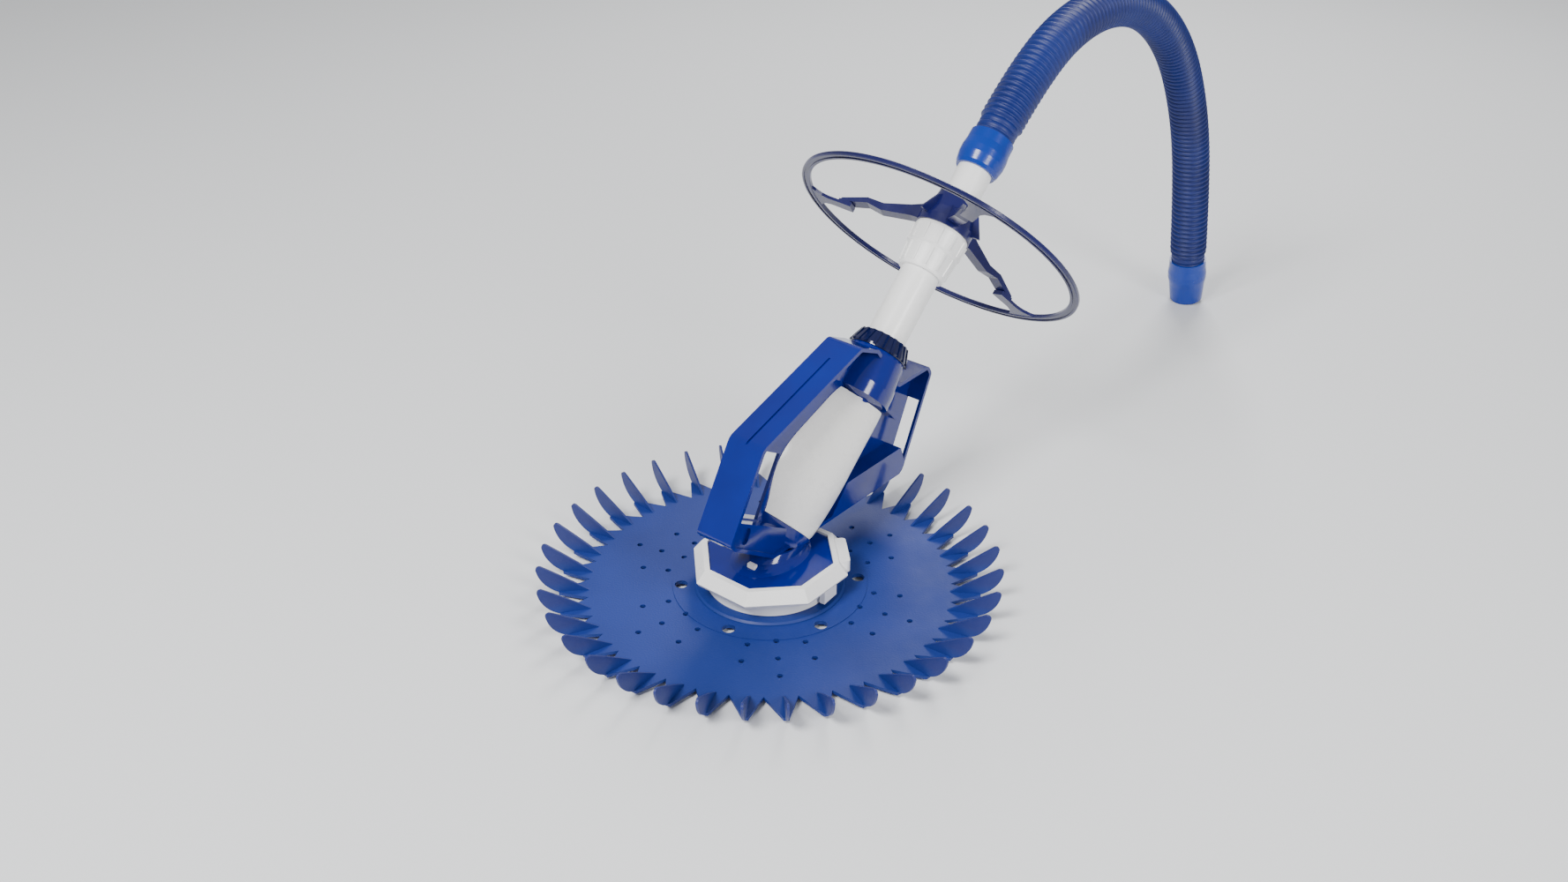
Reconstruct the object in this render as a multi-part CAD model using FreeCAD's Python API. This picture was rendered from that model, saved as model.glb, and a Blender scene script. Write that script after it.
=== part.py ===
import FreeCAD, Part
import math
import os

# Suction pool cleaner.  Millimetres.  Origin on the floor at the middle of the foot, +Z up,
# +X the way the body leans, -Y the side that carries the near float.

# ---- driving dimensions -------------------------------------------------------------------
TILT = 47.5            # lean of the pipe line from the vertical, towards +X
AXIS_Z = 41.0          # height at which the pipe line crosses the foot's centre line
RUN = 0.06             # radial clearance of a running fit
GAP = 0.3              # clearance between separate bodies

DISC_TOP, DISC_T = 8.0, 3.5
DISC_BORE = 58.0
TEETH, TOOTH_PHASE, TOOTH_TIP = 36, 4.0, 218.0
GAP_IN, GAP_OUT = 187.5, 197.5
BLADE_ROOT, BLADE_T = 185.0, 2.4
HORN_R, HORN_Z = 240.0, 38.5
HOLE_PHASE = 13.5

OCT_IN, OCT_TOP, OCT_OUT = 63.0, 68.5, 77.0
RING_Z0, RING_Z1 = 30.0, 45.0

FRAME_HALF = 22.0
WALL = 4.0
OUTLINE = [(121, 239), (-34, 189), (-85, 103), (-80, 96), (-19, 56), (200, 56),
           (250, 160), (243, 171), (190, 171), (150, 226)]
CORNERS = [9, 14, 5, 3, 6, 12, 7, 7, 2, 2]

FLOAT_S = (33.0, 57.0, 85.0, 110.0, 150.0, 185.5)
FLOAT_R = (27.0, 30.0, 32.0, 32.0, 31.0, 29.5)
FLOAT_CREST = (52.0, 63.0, 73.0, 70.0, 54.0, 36.0)

TUBE_R, TUBE_BORE = 25.0, 22.0
COLLAR_S = (190.0, 240.0)
OUTER_R, OUTER_BORE = 21.5, 19.8
INNER_R, INNER_BORE = 19.5, 17.3
WHEEL_R, WHEEL_S = 164.0, 382.0
SPOKE_ANGLES = (100, 220, 340)
SPOKE_HALF = 7.5
HOSE_R, HOSE_BORE = 23.0, 19.0
HOSE_RUNS = [(42.5, 112), (18, 122), (-8, 126), (-34, 126), (-57, 130), (-72, 126), (-80, 125.3)]
HOSE_START = 497.0

V = FreeCAD.Vector
NODES = {}


def tilted(shape):
    """Local frame (x = down-slope, y = sideways, z = along the pipe) to the object's frame."""
    s = shape.copy()
    s.rotate(V(0, 0, 0), V(0, 1, 0), TILT)
    s.translate(V(0, 0, AXIS_Z))
    return s


def on_axis(s, v=0.0, y=0.0):
    """Point at distance s along the pipe line and v up the slope's normal."""
    t = math.radians(TILT)
    return V(s * math.sin(t) - v * math.cos(t), y, AXIS_Z + s * math.cos(t) + v * math.sin(t))


def revolve(profile):
    """Solid of revolution about Z from (radius, z) points."""
    wire = Part.makePolygon([V(r, 0, z) for r, z in profile + profile[:1]])
    return Part.Face(wire).revolve(V(0, 0, 0), V(0, 0, 1), 360)


def ring(r_out, r_in, z0, z1):
    return revolve([(r_in, z0), (r_out, z0), (r_out, z1), (r_in, z1)])


def cyl(r, z0, z1):
    return Part.makeCylinder(r, z1 - z0, V(0, 0, z0))


def box(x0, x1, y0, y1, z0, z1):
    return Part.makeBox(x1 - x0, y1 - y0, z1 - z0, V(x0, y0, z0))


def spun(shape, angle):
    s = shape.copy()
    s.rotate(V(0, 0, 0), V(0, 0, 1), angle)
    return s


def rounded_face(points, radii):
    """Polygon in the XZ plane with its corners rounded by tangent arcs."""
    pts = [V(x, 0, z) for x, z in points]
    n = len(pts)
    cuts, edges = [], []
    for i in range(n):
        a, p, b = pts[i - 1], pts[i], pts[(i + 1) % n]
        u, w = (a - p).normalize(), (b - p).normalize()
        half = u.getAngle(w) / 2
        back = radii[i] / math.tan(half)
        mid = p + (u + w).normalize() * (radii[i] / math.sin(half) - radii[i])
        cuts.append((p + u * back, mid, p + w * back))
    for i in range(n):
        edges.append(Part.Arc(*cuts[i]).toShape())
        edges.append(Part.makeLine(cuts[i][2], cuts[(i + 1) % n][0]))
    return Part.Face(Part.Wire(edges))


def slab(face, y0, y1):
    """A face in XZ thickened from y0 to y1."""
    f = face.copy()
    f.translate(V(0, y0, 0))
    return f.extrude(V(0, y1 - y0, 0))


def octagon(radius, z):
    """Wire of a regular octagon of the given flat distance, flats facing X and Y."""
    corner = radius / math.cos(math.pi / 8)
    pts = [V(corner * math.cos(math.radians(22.5 + 45 * i)),
             corner * math.sin(math.radians(22.5 + 45 * i)), z) for i in range(8)]
    return Part.makePolygon(pts + pts[:1])


def loft(wires):
    return Part.makeLoft(wires, True, True)


def keep(name, shape):
    shape = shape.removeSplitter()
    NODES[name] = shape
    return shape


# ---- finned disc --------------------------------------------------------------------------
def horn():
    """Upright curved blade along the middle of one tooth, leaning out to a rounded tip."""
    z0 = DISC_TOP - 1.0
    root, top, tip, heel = V(BLADE_ROOT, 0, z0), V(234, 0, HORN_Z), V(HORN_R, 0, 35), V(217, 0, z0)
    edges = [Part.Arc(root, V(213, 0, 25.6), top), Part.Arc(top, V(238.6, 0, 38.2), tip),
             Part.Arc(tip, V(234.4, 0, 20.5), heel), Part.LineSegment(heel, root)]
    blade = Part.Face(Part.Wire([e.toShape() for e in edges]))
    blade.translate(V(0, -BLADE_T / 2, 0))
    return blade.extrude(V(0, BLADE_T, 0))


def finned_disc():
    outline = []
    step = 360.0 / TEETH
    for i in range(TEETH):
        mid = TOOTH_PHASE + i * step
        for r, da in ((GAP_OUT, -3.9), (TOOTH_TIP, -0.7), (TOOTH_TIP, 0.7), (GAP_IN, 4.2)):
            t = math.radians(mid + da)
            outline.append(V(r * math.cos(t), r * math.sin(t), DISC_TOP - DISC_T))
    plate = Part.Face(Part.makePolygon(outline + outline[:1])).extrude(V(0, 0, DISC_T))
    hub = revolve([(50, DISC_TOP - DISC_T), (78.5, DISC_TOP - DISC_T), (78.5, DISC_TOP + 1.6),
                   (76.5, DISC_TOP + 3.6), (50, DISC_TOP + 3.6)])
    step_ring = ring(101, 60, DISC_TOP - 1, DISC_TOP + 0.8)
    disc = plate.fuse([hub, step_ring] + [spun(horn(), TOOTH_PHASE + i * step)
                                          for i in range(TEETH)])
    drills = [cyl(DISC_BORE, 0, 20)]
    for k in range(6):
        t = math.radians(HOLE_PHASE + 60 * k)
        drills.append(Part.makeCylinder(6.8, 20, V(92 * math.cos(t), 92 * math.sin(t), 0)))
        for r, da in ((102, 0), (109, 15.2), (109, -15.2), (129.5, 0), (136, 15.2),
                      (136, -15.2), (156.5, 0)):
            t = math.radians(HOLE_PHASE + 30 + 60 * k + da)
            drills.append(Part.makeCylinder(3.0, 20, V(r * math.cos(t), r * math.sin(t), 0)))
    return disc.cut(drills)


# ---- foot ---------------------------------------------------------------------------------
def foot_shell():
    """Octagonal suction foot: skirt, sloping roof and the slanting way to the throat."""
    roof = loft([octagon(OCT_IN - GAP, RING_Z0), octagon(OCT_IN - GAP, 42.5)])
    flare = []
    for t in (0, 0.12, 0.28, 0.5, 1):
        z, more = 42.4 + 13.3 * t, 8 * (1 - t) ** 4
        middle = V((z - AXIS_Z) * math.tan(math.radians(TILT)), 0, z)
        flare.append(Part.Wire(Part.Ellipse(middle, 41 + more, 28 + more).toShape()))
    crown = loft(flare)
    skirt = cyl(DISC_BORE - RUN, 4.2, RING_Z0 + 1)
    body = roof.fuse([crown, skirt])
    chamber = revolve([(0, 4), (46, 4), (46, 26), (30, 38), (0, 38)])
    throat = tilted(cyl(TUBE_R + 0.5, -6, 60))
    return body.cut([chamber, throat, box(-50, -31.4, -10.5, -0.5, 45.4, 50.6)])


def octagon_ring():
    """White clamp ring round the foot with its thick latch block and hanging tab."""
    band = loft([octagon(OCT_OUT - 1.5, RING_Z0), octagon(OCT_OUT, RING_Z0 + 3),
                 octagon(OCT_TOP, RING_Z1)])
    block = box(60, 81, -22, 22, RING_Z0, RING_Z1 - 2)
    block = block.makeFillet(4, [e for e in block.Edges if e.Vertexes[0].Z != e.Vertexes[1].Z])
    band = band.fuse(spun(block, -45))
    return band.cut(loft([octagon(OCT_IN, RING_Z0 - 5), octagon(OCT_IN, RING_Z1 + 5)]))


def latch_tab():
    foot = 15.0
    arm = box(69, 75, -11, 11, foot, RING_Z0 - GAP).fuse(box(66.5, 71, -6, 6, 24, RING_Z0 - GAP))
    edges = [e for e in arm.Edges if abs(e.Vertexes[0].Z - foot) < 0.1 and
             abs(e.Vertexes[1].Z - foot) < 0.1]
    return spun(arm.makeFillet(1.2, edges), -85)


# ---- frame --------------------------------------------------------------------------------
def frame():
    """One moulding: looped side walls, middle web, throat tube and collar."""
    face = rounded_face(OUTLINE, CORNERS)
    inner = face.makeOffset2D(-WALL)
    loop = slab(face, -FRAME_HALF, FRAME_HALF).cut(slab(inner, -40, 40))
    web = slab(face, -2, 2)
    housing = rounded_face([(72, 56), (197, 56), (203, 72), (197, 89), (101, 89)], [2] * 5)
    block = rounded_face([(-79, 97), (-66, 120.5), (8, 77), (8, 57), (-20, 57)], [2, 2, 1, 1, 1])
    seat = tilted(loft([float_section(12, 26.5, 31), float_section(22, 27.5, 45),
                        float_section(FLOAT_S[0] - 0.6, 28, 54)]))
    solid = loop.fuse([web, slab(housing, -FRAME_HALF, FRAME_HALF), slab(block, -19, 19), seat])
    tube = tilted(cyl(TUBE_R, 16, 200))
    collar = tilted(revolve([(0, 186), (TUBE_R, 186), (37, 190), (36.5, 205), (32.2, 236),
                             (31, 240), (0, 240)]))
    solid = solid.fuse([tube, collar])
    solid = solid.fuse(tilted(box(25, 62, -20, 20, 196, 199)))
    bore = tilted(cyl(TUBE_BORE, -20, 212).fuse(cyl(25.0, 211, 300)))
    groove = slab(rounded_face([(95, 233.5), (-38, 190.6), (-79, 121), (-77, 119), (-36, 186.6),
                                (96, 229.4)], [0.5] * 6), -1.2, 1.2)
    long_side = math.degrees(math.atan2(86, 51))
    window = Part.makeBox(70, 44, 27, V(-35, -22, -13.5))
    window.rotate(V(0, 0, 0), V(0, 1, 0), -long_side)
    window.translate(V(-15.5, 0, 133))
    slots = [slab(rounded_face([(196, 72), (240, 58), (280, 132), (226, 132)], [1] * 4), a, b)
             for a, b in ((-18.5, -2), (2, 18.5))]
    pocket = box(108, 192, -17.5, 17.5, 61, 84).fuse(box(104, 196, 17.5, 19.8, 59, 86))
    cap_way = box(104, 196, 19.7, 40, 59, 86)
    below = box(-200, 300, -60, 60, -50, 55.9)
    dent = rounded_face([(-65.5, 94.9), (-57.5, 91.1), (-50, 107.1), (-58, 110.9)], [4.2] * 4)
    dents = [slab(dent, -20, -15), slab(dent, 15, 20)]
    cuts = [bore, groove, window, pocket, cap_way, below] + dents + slots
    return solid.cut(cuts)


def float_section(s, radius, crest):
    """Egg-shaped outline round the throat with its narrow end up the slope, at distance s."""
    mid, amp = (crest - radius) / 2, (crest + radius) / 2
    turns = [math.radians(15 * i) for i in range(24)]
    pts = [V(-mid - amp * math.cos(a), radius * (math.sin(a) - 0.3 * math.sin(2 * a)) / 1.1, s)
           for a in turns]
    curve = Part.BSplineCurve()
    curve.interpolate(pts, PeriodicFlag=True)
    return Part.Wire(curve.toShape())


def float_halves():
    stations = zip(FLOAT_S, FLOAT_R, FLOAT_CREST)
    body = Part.makeLoft([float_section(s, r, c) for s, r, c in stations], True, False)
    body = tilted(body.cut(cyl(TUBE_R + GAP, 0, 250)))
    web_gap = box(-200, 300, -2 - GAP, 2 + GAP, -50, 400)
    body = body.cut([web_gap, tilted(box(20, 80, -40, 40, 0, 300)), box(-50, 90, -60, 60, 0, 56.2)])
    parts = sorted(body.Solids, key=lambda s: s.CenterOfMass.y)
    return parts[0], parts[-1]


def foam(half, side):
    """Buoyant core sealed inside one float half."""
    y0, y1 = (-9.0, -5.0) if side < 0 else (5.0, 9.0)
    return tilted(box(-52, -34, y0, y1, 70, 130)), tilted(
        box(-52 - GAP, -34 + GAP, y0 - GAP, y1 + GAP, 70 - GAP, 130 + GAP))


# ---- pipes, nut, coupling -----------------------------------------------------------------
def hand_nut():
    cap = revolve([(OUTER_R + GAP, 240.3), (32, 240.3), (32.5, 243), (26.5, 258),
                   (OUTER_R + GAP, 258)])
    sleeve = ring(24.7, OUTER_R + GAP, 222, 241)
    rib = Part.makeCone(34.2, 28.0, 17, V(0, 0, 241)).cut(Part.makeCone(30.5, 24.5, 17, V(0, 0, 241)))
    ribs = [spun(rib.common(box(20, 40, -1.7, 1.7, 230, 270)), 18 * i) for i in range(20)]
    return cap.fuse([sleeve] + ribs)


def coupling():
    body = revolve([(OUTER_R + GAP, 340), (25.6, 340), (26.2, 342), (28.2, 366), (29.6, 368),
                    (30.6, 388), (29.8, 391), (INNER_R + GAP, 391), (INNER_R + GAP, 372),
                    (OUTER_R + GAP, 372)])
    rib = revolve([(24, 344), (27.6, 344), (29.4, 365), (24, 365)]).common(
        box(15, 40, -1.3, 1.3, 330, 400))
    top = revolve([(24, 369), (30.8, 369), (31.7, 387), (24, 387)]).common(
        box(15, 40, -1.3, 1.3, 330, 400))
    return body.fuse([spun(rib, 30 * i) for i in range(12)] + [spun(top, 30 * i) for i in range(12)])


def wheel():
    """Deflector wheel: grooved flat rim, three stepped spokes that fork at the rim, tall hub."""
    s = WHEEL_S
    rim = revolve([(155, s - 2.5), (WHEEL_R - 1, s - 2.5), (WHEEL_R, s - 1.5), (WHEEL_R, s + 1.5),
                   (WHEEL_R - 1, s + 2.5), (155, s + 2.5), (154, s + 1.5), (154, s - 1.5)])
    for z0, z1 in ((s - 3, s - 1.5), (s + 1.5, s + 3)):
        rim = rim.cut(ring(161, 157.5, z0, z1))
    hub = revolve([(INNER_R + RUN, 391.3), (31.5, 391.3), (31.5, 401), (27, 412), (24.2, 430),
                   (INNER_R + RUN, 430)])
    arm = rounded_face([(22, 396), (40, 395), (74, 389), (92, 391.5), (122, 382.5), (122, 387),
                        (94, 397.5), (74, 397.5), (44, 407), (24, 416)], [1.5] * 10)
    arm = slab(arm, -SPOKE_HALF, SPOKE_HALF)
    channel = slab(rounded_face([(46, 400.5), (74, 394.5), (92, 394.5), (120, 384.5), (120, 392),
                                 (94, 402), (74, 402), (46, 411)], [1] * 8), -5, 5)
    flare = [(108, SPOKE_HALF), (136, 7), (144, 9.5), (150, 15), (156, 25)]
    outline = [V(x, y, s - 1.7) for x, y in flare] + [V(x, -y, s - 1.7) for x, y in flare[::-1]]
    flare = Part.Face(Part.makePolygon(outline + outline[:1])).extrude(V(0, 0, 3.4))
    spoke = arm.fuse([flare, box(108, 124, -SPOKE_HALF, SPOKE_HALF, s - 1.7, s + 3.5)]).cut(channel)
    solid = rim.fuse([hub] + [spun(spoke, a) for a in SPOKE_ANGLES])
    gussets = [spun(slab(rounded_face([(25, 398), (42, 398), (29, 422), (23, 426)], [1] * 4),
                         -1.5, 1.5), a + 60) for a in SPOKE_ANGLES]
    return solid.fuse(gussets).cut(cyl(INNER_R + RUN, 380, 440))


def cuff(z0):
    """Bulged hose cuff: soft mouth, belly and grip end, from z0 upwards."""
    return revolve([(INNER_R + RUN, z0), (22.6, z0), (24.6, z0 + 4), (26.5, z0 + 14),
                    (26.6, z0 + 22), (25.4, z0 + 31), (25.2, z0 + 42), (HOSE_R + RUN, z0 + 42),
                    (HOSE_R + RUN, z0 + 25), (INNER_R + RUN, z0 + 25)])


# ---- hose ---------------------------------------------------------------------------------
def hose_points():
    p = on_axis(HOSE_START)
    pts = [p]
    for heading, length in HOSE_RUNS:
        a = math.radians(heading)
        p = p + V(length * math.cos(a), 0, length * math.sin(a))
        pts.append(p)
    return pts


def hose_route(pts):
    """Straight runs joined by tangent arcs."""
    edges, at, length = [], pts[0], 0.0
    for a, p, b in zip(pts, pts[1:], pts[2:]):
        u, w = (a - p).normalize(), (b - p).normalize()
        half_turn = (math.pi - u.getAngle(w)) / 2
        back = 0.45 * min((a - p).Length, (b - p).Length)
        radius = back / math.tan(half_turn)
        bow = radius / math.cos(half_turn) - radius
        start, mid, end = p + u * back, p + (u + w).normalize() * bow, p + w * back
        edges += [Part.makeLine(at, start), Part.Arc(start, mid, end).toShape()]
        at = end
        print("bend radius %.0f" % radius)
    edges.append(Part.makeLine(at, pts[-1]))
    wire = Part.Wire(edges)
    print("hose length %.0f" % wire.Length)
    return wire


def sweep(radius, wire, at, direction):
    profile = Part.Wire(Part.makeCircle(radius, at, direction))
    return wire.makePipeShell([profile], True, True)


def far_frame(pts):
    end, d = pts[-1], (pts[-1] - pts[-2]).normalize()
    return end, d


def far_cuff(pts):
    end, d = far_frame(pts)
    shape = revolve([(HOSE_R + RUN, -17), (25.2, -17), (25.4, -6), (26.6, 3), (26.5, 11),
                     (24.6, 21), (22.6, 46), (INNER_R + RUN, 46), (INNER_R + RUN, GAP),
                     (HOSE_R + RUN, GAP)])
    shape.rotate(V(0, 0, 0), V(0, 1, 0), math.degrees(math.atan2(d.x, d.z)))
    shape.translate(end)
    return shape


def build():
    keep("finned_disc", finned_disc())
    keep("foot_shell", foot_shell())
    keep("snap_tab", box(-36.5, -31.7, -10.2, -0.8, 45.7, 50.3))
    keep("foot_pad", ring(62, 45, 0, 4.1))
    keep("swivel_ring", ring(66, DISC_BORE, DISC_TOP + 4, RING_Z0 - GAP))
    keep("octagon_ring", octagon_ring())
    keep("latch_tab", latch_tab())
    body = keep("frame", frame())
    near, far = float_halves()
    for name, half, side in (("near", near, -1), ("far", far, 1)):
        core, hollow = foam(half, side)
        shell = half.cut(hollow).cut(body)
        keep("float_" + name, max(shell.Solids, key=lambda s: s.Volume))
        keep("foam_" + name, core)
    keep("ballast", box(108.3, 191.7, -17.2, 17.2, 61.3, 83.7))
    keep("ballast_cap", box(104.3, 195.7, 17.6, 19.7, 59.3, 85.7))
    keep("cassette_shell", tilted(ring(TUBE_BORE - GAP, 18.2, 40, 150)))
    keep("diaphragm", tilted(revolve([(15.2, 48), (17.9, 48), (17.9, 60), (14.5, 90), (17.9, 120),
                                      (17.9, 142), (15.2, 142), (15.2, 120), (12, 90),
                                      (15.2, 60)])))
    keep("cassette_ring", tilted(ring(TUBE_BORE - GAP, 15.4, 150.3, 156)))
    keep("outer_pipe", tilted(ring(OUTER_R, OUTER_BORE, 156.5, 366)))
    keep("pipe_seal", tilted(ring(24.6, OUTER_R + GAP, 211.3, 215)))
    keep("clamp_ring", tilted(ring(24.6, OUTER_R + GAP, 215.3, 221.7)))
    keep("hand_nut", tilted(hand_nut()))
    keep("coupling_collar", tilted(coupling()))
    keep("coupling_seal", tilted(ring(OUTER_R, INNER_R + GAP, 366.6, 371.4)))
    keep("inner_pipe", tilted(ring(INNER_R, INNER_BORE, 300, 493)))
    keep("deflector_wheel", tilted(wheel()))
    keep("wheel_clip", tilted(ring(24.0, INNER_R + GAP, 430.4, 435)))
    keep("hose_cuff", tilted(cuff(469)))
    pts = hose_points()
    wire = hose_route(pts)
    direction = (pts[1] - pts[0]).normalize()
    tube = sweep(HOSE_R, wire, pts[0], direction)
    keep("hose_tube", tube.cut(sweep(HOSE_BORE, wire, pts[0], direction)))
    keep("far_cuff", far_cuff(pts))
    end, d = far_frame(pts)
    print("far end %.2f %.2f %.2f  dir %.4f %.4f %.4f" % (*end, *d))
    print("route", [(round(p.x, 1), round(p.z, 1)) for p in pts])


build()
os.makedirs("parts", exist_ok=True)
for name, shape in NODES.items():
    if len(shape.Solids) != 1 or not shape.isValid():
        print("check", name, len(shape.Solids), shape.isValid())
    if len(shape.Solids) == 1:
        shape = shape.Solids[0]
    shape.exportStep("parts/%s.step" % name)
    b = shape.BoundBox
    print("%-16s %7.1f %7.1f %7.1f %7.1f %6.1f %6.1f  vol %.0f" % (
        name, b.XMin, b.XMax, b.YMin, b.YMax, b.ZMin, b.ZMax, shape.Volume))
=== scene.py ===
import bpy
import math
import numpy as np
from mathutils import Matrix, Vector


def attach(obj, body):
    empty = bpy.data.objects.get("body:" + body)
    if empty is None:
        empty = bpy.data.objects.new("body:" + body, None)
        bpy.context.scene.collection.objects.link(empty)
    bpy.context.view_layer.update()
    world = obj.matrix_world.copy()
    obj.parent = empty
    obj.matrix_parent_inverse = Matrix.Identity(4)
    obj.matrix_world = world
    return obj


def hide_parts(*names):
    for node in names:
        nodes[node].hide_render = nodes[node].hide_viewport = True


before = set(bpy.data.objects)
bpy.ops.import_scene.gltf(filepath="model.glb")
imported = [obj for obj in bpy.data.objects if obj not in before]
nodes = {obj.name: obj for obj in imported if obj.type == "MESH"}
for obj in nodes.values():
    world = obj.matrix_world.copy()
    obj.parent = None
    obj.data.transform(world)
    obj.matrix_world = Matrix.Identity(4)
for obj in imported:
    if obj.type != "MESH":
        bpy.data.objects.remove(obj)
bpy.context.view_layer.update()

# ---- camera ------------------------------------------------------------------------------
# The cleaner is seen from above its low side, on a 36 mm wide sensor behind a 35.6 mm lens.
eye = Vector((-1.0126, -0.8555, 0.9378))
heading, dip = math.radians(39.56), math.radians(29.87)
sight = Vector((math.cos(heading) * math.cos(dip), math.sin(heading) * math.cos(dip), -math.sin(dip)))
cam_data = bpy.data.cameras.new("view")
cam_data.lens, cam_data.sensor_width, cam_data.clip_end = 35.59, 36.0, 60.0
camera = bpy.data.objects.new("view", cam_data)
camera.location = eye
camera.rotation_euler = sight.to_track_quat("-Z", "Y").to_euler()
bpy.context.collection.objects.link(camera)
bpy.context.scene.camera = camera

# ---- hose section ------------------------------------------------------------------------
# One push-together length of floating pool hose, blow-moulded EVA with close rings that let
# it bend.  It leaves the upper cuff in line with the pipe, arcs over and comes to the floor.
HOSE_MID, HOSE_DEPTH, RING_PITCH = 0.0232, 0.0019, 0.0072


class Shade:
    """Node socket wrapped so that ordinary arithmetic on it adds Math nodes."""

    def __init__(self, tree, socket):
        self.tree, self.socket = tree, socket

    def node(self, kind, settings=None, **inputs):
        """Adds a node; settings come first, then each named or numbered socket gets its value."""
        n = self.tree.nodes.new(kind)
        for key, value in (settings or {}).items():
            if key == "stops":
                ramp = n.color_ramp
                while len(ramp.elements) < len(value):
                    ramp.elements.new(0.5)
                for element, (at, colour) in zip(ramp.elements, value):
                    element.position, element.color = at, colour
            else:
                setattr(n, key, value)
        for key, value in inputs.items():
            target = n.inputs[int(key[1:])] if key[0] == "i" and key[1:].isdigit() else n.inputs[
                key.replace("_", " ")]
            if isinstance(value, Shade):
                self.tree.links.new(value.socket, target)
            else:
                target.default_value = value
        return n

    def out(self, n, name=0):
        return Shade(self.tree, n.outputs[name])

    def maths(self, operation, *values):
        return self.out(self.node("ShaderNodeMath", {"operation": operation},
                                  **{"i%d" % i: v for i, v in enumerate(values)}))

    def __add__(self, other): return self.maths("ADD", self, other)
    def __radd__(self, other): return self.maths("ADD", other, self)
    def __sub__(self, other): return self.maths("SUBTRACT", self, other)
    def __rsub__(self, other): return self.maths("SUBTRACT", other, self)
    def __mul__(self, other): return self.maths("MULTIPLY", self, other)
    def __rmul__(self, other): return self.maths("MULTIPLY", other, self)
    def __truediv__(self, other): return self.maths("DIVIDE", self, other)

    def within(self, low, high):
        """0 below low, 1 above high, smooth between."""
        return self.out(self.node("ShaderNodeMapRange", {"interpolation_type": "SMOOTHSTEP"},
                                  Value=self, From_Min=low, From_Max=high))


def start_material(name, **fixed):
    """New principled material; returns it with its shader node and its position socket."""
    m = bpy.data.materials.new(name)
    m.use_nodes = True
    shader = m.node_tree.nodes["Principled BSDF"]
    for key, value in fixed.items():
        shader.inputs[key.replace("_", " ")].default_value = value
    coords = m.node_tree.nodes.new("ShaderNodeTexCoord")
    return m, shader, Shade(m.node_tree, coords.outputs["Object"])


def noise(at, scale, detail=2.0, rough=0.5):
    return at.out(at.node("ShaderNodeTexNoise", None, Vector=at, Scale=scale, Detail=detail,
                          Roughness=rough), "Fac")


def blend_colour(amount, low, high):
    """Colour that goes from low to high as amount goes from 0 to 1."""
    n = amount.node("ShaderNodeMix", {"data_type": "RGBA"}, i0=amount, i6=low, i7=high)
    return Shade(amount.tree, n.outputs[2])


def plug_in(shader, **links):
    for key, value in links.items():
        value.tree.links.new(value.socket, shader.inputs[key.replace("_", " ")])


def bump(height, strength, distance):
    return height.out(height.node("ShaderNodeBump", None, Strength=strength, Distance=distance,
                                  Height=height))


def moulded(name, deep, pale, rough, grain, relief, coat=0.0):
    """Moulded plastic: slow colour drift, uneven gloss from handling and a fine mould texture."""
    m, shader, at = start_material(name, Coat_Roughness=0.08, Coat_Weight=coat)
    drift = noise(at, 9.0, 3.0)
    scuff = noise(at, 60.0, 4.0, 0.7)
    plug_in(shader, Base_Color=blend_colour(drift.within(0.3, 0.7), deep, pale),
            Roughness=rough + (scuff - 0.5) * 0.16 + (drift - 0.5) * 0.1,
            Normal=bump(noise(at, grain, 3.0) + noise(at, 14.0) * 0.6, relief, 0.001))
    return m


def dress(material, *names):
    for name in names:
        for slot in nodes[name].material_slots:
            slot.material = material


def grid_mesh(name, rows, wrap_rows, wrap_cols):
    """Mesh over a (rows, columns, 3) array of points, joined round in either direction."""
    r, c = rows.shape[:2]
    i = np.arange(r if wrap_rows else r - 1)[:, None]
    j = np.arange(c if wrap_cols else c - 1)[None, :]
    i2, j2 = (i + 1) % r, (j + 1) % c
    quads = np.stack([i * c + j, i * c + j2, i2 * c + j2, i2 * c + j], -1).reshape(-1, 4)
    mesh = bpy.data.meshes.new(name)
    mesh.from_pydata(rows.reshape(-1, 3), [], quads.tolist())
    mesh.polygons.foreach_set("use_smooth", np.ones(len(mesh.polygons), bool))
    mesh.update()
    return mesh


def piece_of(name, mesh, material):
    obj = bpy.data.objects.new(name, mesh)
    bpy.context.collection.objects.link(obj)
    obj.data.materials.append(material)
    return obj


hose_points = [(0.3664, 0.3768), (0.4490, 0.4524), (0.5650, 0.4901), (0.6898, 0.4726),
               (0.7943, 0.4021), (0.8651, 0.2931), (0.9040, 0.1733), (0.9258, 0.0499)]
route = bpy.data.curves.new("hose_route", "CURVE")
route.dimensions = "3D"
spline = route.splines.new("NURBS")
spline.points.add(len(hose_points) - 1)
for point, (x, z) in zip(spline.points, hose_points):
    point.co = (x, 0.0, z, 1.0)
spline.order_u, spline.use_endpoint_u, spline.resolution_u = 3, True, 48
route_obj = bpy.data.objects.new("hose_route", route)
bpy.context.collection.objects.link(route_obj)
bpy.context.view_layer.update()
line_mesh = bpy.data.meshes.new_from_object(route_obj)
line = np.empty(len(line_mesh.vertices) * 3)
line_mesh.vertices.foreach_get("co", line)
line = line.reshape(-1, 3)
bpy.data.objects.remove(route_obj)
bpy.data.meshes.remove(line_mesh)


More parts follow.
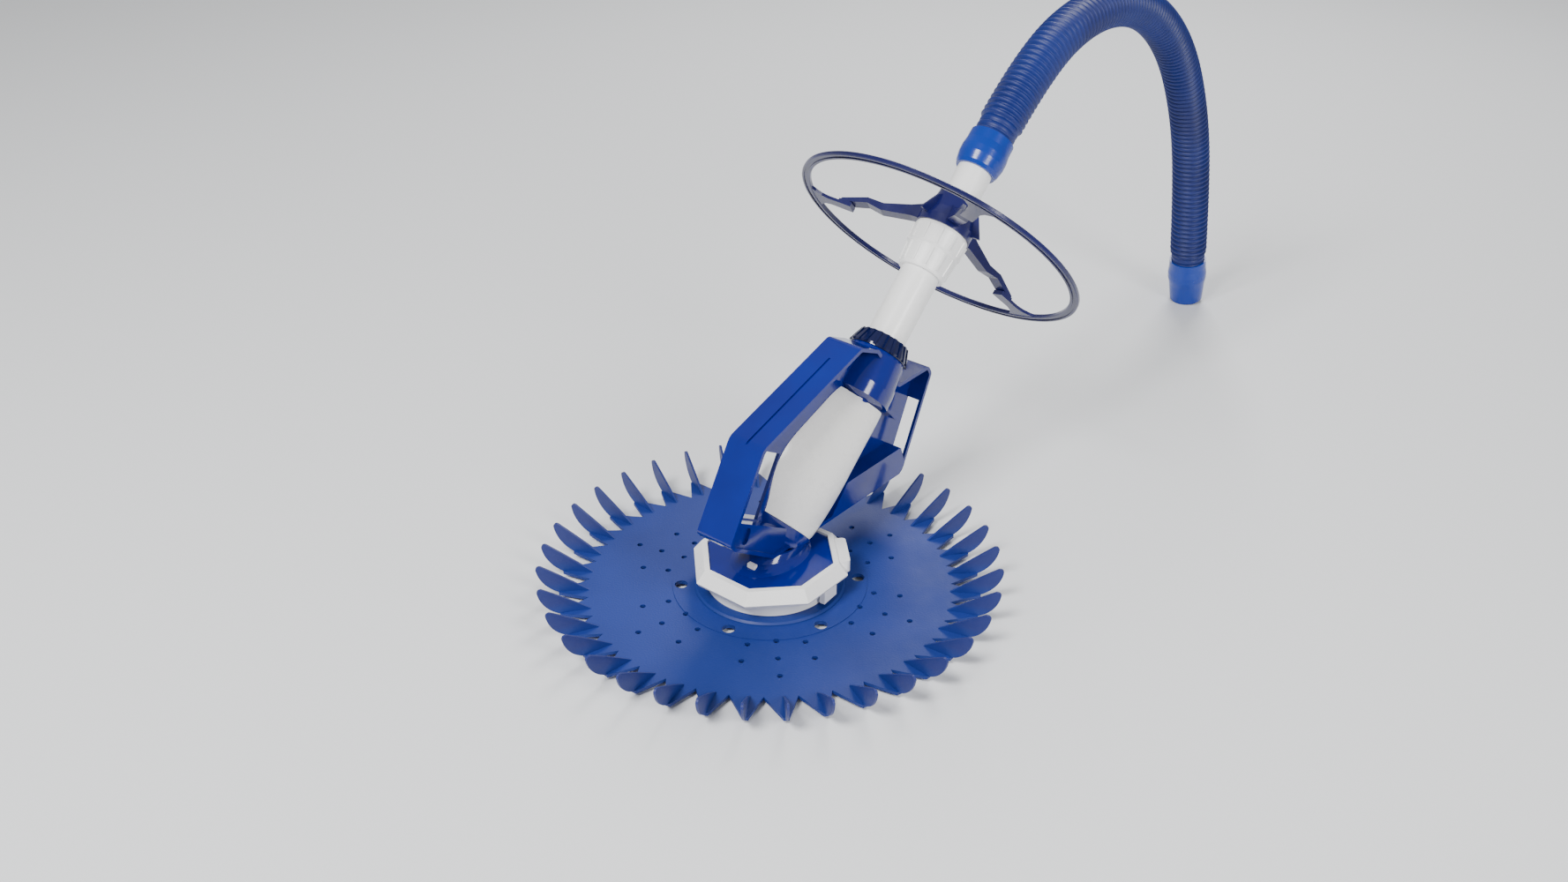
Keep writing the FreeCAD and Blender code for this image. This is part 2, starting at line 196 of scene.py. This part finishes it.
def ringed_tube(line, bore):
    """Tube along the line: radius = mid + depth * shaped cosine of the distance along it,
    closed through its bore so that the wall has both faces."""
    along = np.r_[0, np.cumsum(np.linalg.norm(np.diff(line, axis=0), axis=1))]
    total = along[-1]
    steps = int(total / RING_PITCH) * 7
    s = np.linspace(0, total, steps)
    wave = np.cos(2 * np.pi * s / RING_PITCH)
    outer = HOSE_MID + HOSE_DEPTH * np.sign(wave) * np.abs(wave) ** 0.7
    plain = np.clip(np.minimum(s, total - s) / 0.03, 0, 1)
    outer = np.where(plain < 1, np.minimum(outer, 0.0228), outer)
    s_in = np.linspace(total, 0, 120)
    s_all, r_all = np.r_[s, s_in], np.r_[outer, np.full(120, bore)]
    centre = np.stack([np.interp(s_all, along, line[:, k]) for k in range(3)], 1)
    slope = np.stack([np.interp(s_all, along, np.gradient(line[:, k], along)) for k in range(3)], 1)
    slope /= np.linalg.norm(slope, axis=1)[:, None]
    side = np.array([0.0, 1.0, 0.0])
    up = np.cross(slope, side)
    turn = np.linspace(0, 2 * np.pi, 44, endpoint=False)
    ring = np.cos(turn)[None, :, None] * side + np.sin(turn)[None, :, None] * up[:, None]
    return centre[:, None] + r_all[:, None, None] * ring, total


tube_rows, hose_length = ringed_tube(line, 0.019)
hose_mat, hose_shader, hose_at = start_material("hose_eva", Roughness=0.42)
hose_drift = noise(hose_at, 12.0, 3.0)
plug_in(hose_shader,
        Base_Color=blend_colour(hose_drift.within(0.3, 0.7), (0.0015, 0.010, 0.115, 1), (0.003, 0.017, 0.16, 1)),
        Roughness=0.36 + noise(hose_at, 90.0, 4.0) * 0.16,
        Normal=bump(noise(hose_at, 700.0), 0.12, 0.0006))
hose = piece_of("hose_ringed", grid_mesh("hose_ringed", tube_rows, True, True), hose_mat)
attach(hose, "cleaner")
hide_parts("hose_tube")

# ---- hose cuffs --------------------------------------------------------------------------
# Soft bulged cuffs, injection-moulded EVA in a bright glossy blue, screwed on the hose's ends;
# the upper one pushes over the inner pipe and turns on it.
cuff_mat = moulded("cuff_eva", (0.0008, 0.022, 0.24, 1), (0.002, 0.038, 0.34, 1), 0.24, 260.0, 0.10, 0.1)
dress(cuff_mat, "hose_cuff", "far_cuff")

# ---- finned disc -------------------------------------------------------------------------
# Flat flexible disc, injection-moulded in matte blue rubbery plastic.  Its rim is cut into
# teeth, each with an upright horn; the horns' faces are painted a greyer purple as painted sheen.
disc_mat, disc_shader, disc_at = start_material("disc_rubbery", Specular_IOR_Level=0.35)
split = disc_at.node("ShaderNodeSeparateXYZ", None, Vector=disc_at)
disc_x, disc_y, disc_z = (disc_at.out(split, k) for k in range(3))
radius = (disc_x * disc_x + disc_y * disc_y).maths("SQRT", disc_x * disc_x + disc_y * disc_y)
# Height mask of the horns: it paints a greyer purple sheen into their base colour and lowers their roughness a
# little.
horns = disc_z.within(0.0095, 0.022)
face = blend_colour(noise(disc_at, 7.0, 4.0).within(0.25, 0.75), (0.009, 0.026, 0.17, 1),
                    (0.014, 0.035, 0.225, 1))
horn_painted_sheen = disc_at.node("ShaderNodeMix", {"data_type": "RGBA"}, i0=horns, i6=face,
                      i7=(0.020, 0.030, 0.165, 1))
hub_shade = 1 - radius.within(0.0785, 0.0795)
tinted2 = disc_at.node("ShaderNodeMix", {"data_type": "RGBA"}, i0=hub_shade * 0.65,
                       i6=Shade(disc_at.tree, horn_painted_sheen.outputs[2]), i7=(0.003, 0.022, 0.17, 1))
plug_in(disc_shader, Base_Color=Shade(disc_at.tree, tinted2.outputs[2]),
        Roughness=0.50 + (noise(disc_at, 40.0, 4.0, 0.7) - 0.5) * 0.2 - horns * 0.08,
        Normal=bump(noise(disc_at, 520.0, 2.0) + noise(disc_at, 11.0, 2.0) * 1.5, 0.16, 0.001))
dress(disc_mat, "finned_disc")

# ---- foot --------------------------------------------------------------------------------
# Octagonal suction foot and the looped frame above it are gloss blue ABS; the foot pad under
# them is darker soft rubber.
body_mat = moulded("body_abs", (0.0003, 0.007, 0.155, 1), (0.0008, 0.012, 0.22, 1), 0.13, 160.0, 0.035, 0.25)
dress(body_mat, "foot_shell", "frame", "ballast_cap")
pad_mat = moulded("pad_rubber", (0.008, 0.03, 0.16, 1), (0.012, 0.045, 0.22, 1), 0.6, 400.0, 0.2)
dress(pad_mat, "foot_pad")

# ---- clamp ring and white fittings ---------------------------------------------------------
# The octagonal clamp ring, its latch, the swivel ring, both pipes and the coupling are white
# PVC and ABS, satin with a faint warm tone.
white_mat = moulded("white_pvc", (0.90, 0.895, 0.875, 1), (0.955, 0.953, 0.94, 1), 0.30, 220.0, 0.05, 0.15)
dress(white_mat, "octagon_ring", "latch_tab", "snap_tab", "swivel_ring", "outer_pipe", "inner_pipe",
      "coupling_collar", "clamp_ring")

# ---- float -------------------------------------------------------------------------------
# Two hollow white shells clipped over the throat tube, one each side of the web, with foam inside.
float_mat = moulded("float_shell", (0.88, 0.87, 0.835, 1), (0.94, 0.93, 0.90, 1), 0.28, 180.0, 0.05, 0.2)
dress(float_mat, "float_near", "float_far")
foam_mat = moulded("foam_core", (0.80, 0.80, 0.78, 1), (0.88, 0.88, 0.86, 1), 0.9, 500.0, 0.5)
dress(foam_mat, "foam_near", "foam_far")

# ---- ballast, valve and seals --------------------------------------------------------------
# Cast-iron block sealed in the lower strut; diaphragm valve of black rubber in a grey cassette.
iron_mat = moulded("ballast_iron", (0.05, 0.05, 0.05, 1), (0.10, 0.095, 0.09, 1), 0.7, 300.0, 0.5)
dress(iron_mat, "ballast")
grey_mat = moulded("cassette_grey", (0.26, 0.27, 0.29, 1), (0.33, 0.34, 0.36, 1), 0.45, 240.0, 0.1)
dress(grey_mat, "cassette_shell", "cassette_ring")
rubber_mat = moulded("seal_rubber", (0.012, 0.012, 0.013, 1), (0.025, 0.025, 0.027, 1), 0.65, 420.0, 0.2)
dress(rubber_mat, "diaphragm", "pipe_seal", "coupling_seal")

# ---- hand nut ----------------------------------------------------------------------------
# Ribbed nut in dark navy ABS that clamps the outer pipe in the collar.
nut_mat = moulded("nut_abs", (0.001, 0.003, 0.035, 1), (0.002, 0.006, 0.06, 1), 0.13, 200.0, 0.04, 0.25)
dress(nut_mat, "hand_nut")

# ---- deflector wheel ---------------------------------------------------------------------
# Navy polypropylene wheel that turns on the pipe and rolls the cleaner off walls and steps.
wheel_mat = moulded("wheel_pp", (0.004, 0.005, 0.06, 1), (0.009, 0.010, 0.095, 1), 0.22, 200.0, 0.05, 0.05)
dress(wheel_mat, "deflector_wheel", "wheel_clip")

# ---- stage -------------------------------------------------------------------------------
# Plain pale floor and soft studio light.
floor_mesh = grid_mesh("floor", np.array([[[-14, -14, 0], [14, -14, 0]], [[-14, 14, 0], [14, 14, 0]]], float),
                       False, False)
floor_mat, floor_shader, floor_at = start_material("floor_pale", Base_Color=(0.78, 0.79, 0.80, 1), Roughness=0.6)
floor = piece_of("floor", floor_mesh, floor_mat)
world = bpy.data.worlds.new("studio")
world.use_nodes = True
world.node_tree.nodes["Background"].inputs["Color"].default_value = (0.97, 0.98, 1.0, 1)
world.node_tree.nodes["Background"].inputs["Strength"].default_value = 0.42
bpy.context.scene.world = world
for name, place, size, power in (("key", (-2.1, 0.1, 2.7), 1.1, 130), ("side", (-0.4, -2.5, 1.6), 0.9, 46),
                                 ("back", (2.4, 0.9, 2.2), 1.2, 55)):
    lamp = bpy.data.lights.new(name, "AREA")
    lamp.size, lamp.energy = size, power
    holder = bpy.data.objects.new(name, lamp)
    holder.location = place
    holder.rotation_euler = (Vector((0.1, 0, 0.1)) - Vector(place)).to_track_quat("-Z", "Y").to_euler()
    bpy.context.collection.objects.link(holder)
